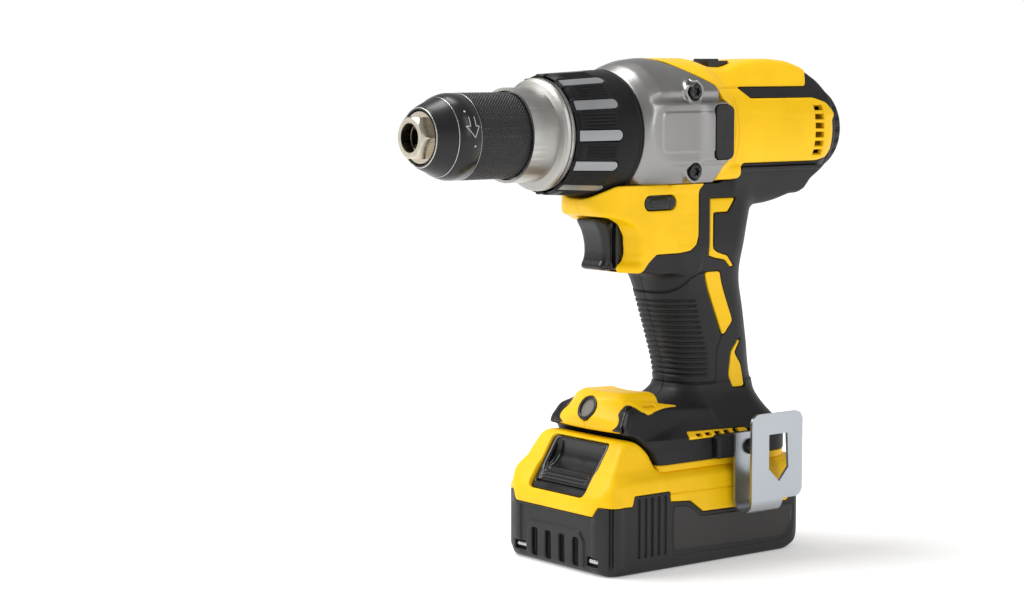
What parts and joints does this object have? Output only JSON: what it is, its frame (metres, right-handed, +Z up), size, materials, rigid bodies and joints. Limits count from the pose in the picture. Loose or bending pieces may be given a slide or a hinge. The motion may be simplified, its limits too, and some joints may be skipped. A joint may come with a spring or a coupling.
{
  "type": "cordless drill",
  "caption": "Pistol-grip cordless drill with keyless chuck, torque collar, cast gear case, rubber grip, worklight, belt clip and slide-on battery pack.",
  "frame": {"origin": "centre of the battery pack's bottom face, on which the drill stands", "axes": "-Y forward along the spindle out of the chuck, +X to the tool's left side, +Z up"},
  "size_m": [0.1, 0.272, 0.2594],
  "materials": {
    "housing_yellow": "moulded nylon, satin",
    "grip_rubber": "soft overmoulded rubber, fine texture",
    "case_aluminium": "die cast, matt",
    "collar_aluminium": "turned, satin",
    "nose_steel": "nickel plated, turned",
    "sleeve_black": "black oxide, knurled",
    "clutch_black": "glass filled nylon",
    "stripe_grey": "silver grey inlay",
    "gear_steel": "ground steel",
    "screw_black": "black oxide screw",
    "motor_steel": "laminated steel",
    "fan_black": "moulded fan",
    "board_green": "circuit board",
    "contact_brass": "plated contacts",
    "cell_wrap": "wrapped steel cell",
    "lens_clear": "clear lens",
    "latch_black": "glossy moulded button",
    "pack_dark": "dark grey nylon, spark textured",
    "clip_steel": "zinc plated spring steel",
    "trigger_black": "satin nylon"
  },
  "bodies": {
    "root": {"spindle_bearing": "gear_steel", "output_ring_gear": "gear_steel", "input_ring_gear": "gear_steel", "motor_can": "motor_steel", "motor_plate": "case_aluminium", "motor_bearings": "gear_steel", "nose_collar": "collar_aluminium", "gear_case": "case_aluminium", "gear_case_screws": "screw_black", "housing_left": "housing_yellow", "housing_right": "housing_yellow", "grip_rubber_left": "grip_rubber", "grip_rubber_right": "grip_rubber", "rear_cap": "grip_rubber", "side_bumper_left": "grip_rubber", "side_bumper_right": "grip_rubber", "housing_screws": "screw_black", "switch_body": "clutch_black", "control_board": "board_green", "worklight_lens": "lens_clear", "worklight_board": "board_green", "tool_terminals": "contact_brass", "belt_clip": "clip_steel", "belt_clip_screw": "screw_black"},
    "rotor": {"rotor_shaft": "gear_steel", "rotor_core": "motor_steel", "cooling_fan": "fan_black"},
    "input_carrier": {"input_carrier": "gear_steel"},
    "spindle": {"spindle": "gear_steel", "chuck_body": "nose_steel", "chuck_screw": "screw_black"},
    "chuck_sleeve": {"chuck_sleeve": "sleeve_black"},
    "clutch_collar": {"clutch_collar": "clutch_black", "clutch_stripes": "stripe_grey"},
    "speed_selector": {"speed_selector": "trigger_black"},
    "trigger": {"trigger": "trigger_black"},
    "direction_button": {"direction_button": "trigger_black"},
    "pack": {"pack_lower_case": "pack_dark", "pack_upper_case": "housing_yellow", "pack_screws": "screw_black", "pack_cells": "cell_wrap", "cell_holder_left": "clutch_black", "cell_holder_right": "clutch_black", "terminal_board": "board_green"},
    "pack_latch": {"pack_latch": "latch_black"},
    "chuck_jaw_1": {"chuck_jaw_1": "gear_steel"},
    "input_planet_1": {"input_planet_1": "gear_steel"},
    "output_planet_1": {"output_planet_1": "gear_steel"},
    "chuck_jaw_2": {"chuck_jaw_2": "gear_steel"},
    "input_planet_2": {"input_planet_2": "gear_steel"},
    "output_planet_2": {"output_planet_2": "gear_steel"},
    "chuck_jaw_3": {"chuck_jaw_3": "gear_steel"},
    "input_planet_3": {"input_planet_3": "gear_steel"},
    "output_planet_3": {"output_planet_3": "gear_steel"}
  },
  "joints": [
    {"name": "rotor_spin", "type": "hinge", "parent": "root", "child": "rotor", "pos_m": [0, 0.04, 0.221], "axis": [0, -1, 0], "continuous": true},
    {"name": "input_carrier_spin", "type": "hinge", "parent": "root", "child": "input_carrier", "pos_m": [0, -0.04, 0.221], "axis": [0, -1, 0], "continuous": true},
    {"name": "spindle_spin", "type": "hinge", "parent": "root", "child": "spindle", "pos_m": [0, -0.09, 0.221], "axis": [0, -1, 0], "continuous": true},
    {"name": "input_planet_1_spin", "type": "hinge", "parent": "input_carrier", "child": "input_planet_1", "pos_m": [0.0135, -0.036, 0.221], "axis": [0, -1, 0], "continuous": true},
    {"name": "input_planet_2_spin", "type": "hinge", "parent": "input_carrier", "child": "input_planet_2", "pos_m": [-0.00675, -0.036, 0.20931], "axis": [0, -1, 0], "continuous": true},
    {"name": "input_planet_3_spin", "type": "hinge", "parent": "input_carrier", "child": "input_planet_3", "pos_m": [-0.00675, -0.036, 0.23269], "axis": [0, -1, 0], "continuous": true},
    {"name": "output_planet_1_spin", "type": "hinge", "parent": "spindle", "child": "output_planet_1", "pos_m": [0.0135, -0.055, 0.221], "axis": [0, -1, 0], "continuous": true},
    {"name": "output_planet_2_spin", "type": "hinge", "parent": "spindle", "child": "output_planet_2", "pos_m": [-0.00675, -0.055, 0.20931], "axis": [0, -1, 0], "continuous": true},
    {"name": "output_planet_3_spin", "type": "hinge", "parent": "spindle", "child": "output_planet_3", "pos_m": [-0.00675, -0.055, 0.23269], "axis": [0, -1, 0], "continuous": true},
    {"name": "sleeve_turn", "type": "hinge", "parent": "spindle", "child": "chuck_sleeve", "pos_m": [0, -0.125, 0.221], "axis": [0, -1, 0], "range_deg": [-828, 1788]},
    {"name": "jaw_1_slide", "type": "slide", "parent": "spindle", "child": "chuck_jaw_1", "axis": [-0.2588, -0.9659, 0], "range_m": [-0.00695, 0.01495]},
    {"name": "jaw_2_slide", "type": "slide", "parent": "spindle", "child": "chuck_jaw_2", "axis": [0.1294, -0.9659, 0.2241], "range_m": [-0.00695, 0.01495]},
    {"name": "jaw_3_slide", "type": "slide", "parent": "spindle", "child": "chuck_jaw_3", "axis": [0.1294, -0.9659, -0.2241], "range_m": [-0.00695, 0.01495]},
    {"name": "clutch_turn", "type": "hinge", "parent": "root", "child": "clutch_collar", "pos_m": [0, -0.058, 0.221], "axis": [0, -1, 0], "range_deg": [0, 300]},
    {"name": "selector_slide", "type": "slide", "parent": "root", "child": "speed_selector", "axis": [0, 1, 0], "range_m": [-0.008, 0]},
    {"name": "trigger_pull", "type": "slide", "parent": "root", "child": "trigger", "axis": [0, 1, 0], "range_m": [0, 0.008], "stiffness_N_per_m": 800, "springref_m": -0.006},
    {"name": "direction_push", "type": "slide", "parent": "root", "child": "direction_button", "axis": [1, 0, 0], "range_m": [-0.0025, 0.0025]},
    {"name": "pack_slide", "type": "slide", "parent": "root", "child": "pack", "axis": [0, -1, 0], "range_m": [0, 0.1]},
    {"name": "latch_press", "type": "slide", "parent": "pack", "child": "pack_latch", "axis": [0, 0.8387, -0.5446], "range_m": [0, 0.0035], "stiffness_N_per_m": 1500, "springref_m": -0.003}
  ],
  "couplings": [
    {"joint": "input_carrier_spin", "follows": "rotor_spin", "ratio": 0.22222},
    {"joint": "spindle_spin", "follows": "rotor_spin", "ratio": 0.049383},
    {"joint": "input_planet_1_spin", "follows": "rotor_spin", "ratio": -0.62222},
    {"joint": "input_planet_2_spin", "follows": "rotor_spin", "ratio": -0.62222},
    {"joint": "input_planet_3_spin", "follows": "rotor_spin", "ratio": -0.62222},
    {"joint": "output_planet_1_spin", "follows": "rotor_spin", "ratio": -0.13827},
    {"joint": "output_planet_2_spin", "follows": "rotor_spin", "ratio": -0.13827},
    {"joint": "output_planet_3_spin", "follows": "rotor_spin", "ratio": -0.13827},
    {"joint": "jaw_1_slide", "follows": "sleeve_turn", "m_per_rad": 0.00047746},
    {"joint": "jaw_2_slide", "follows": "sleeve_turn", "m_per_rad": 0.00047746},
    {"joint": "jaw_3_slide", "follows": "sleeve_turn", "m_per_rad": 0.00047746}
  ]
}
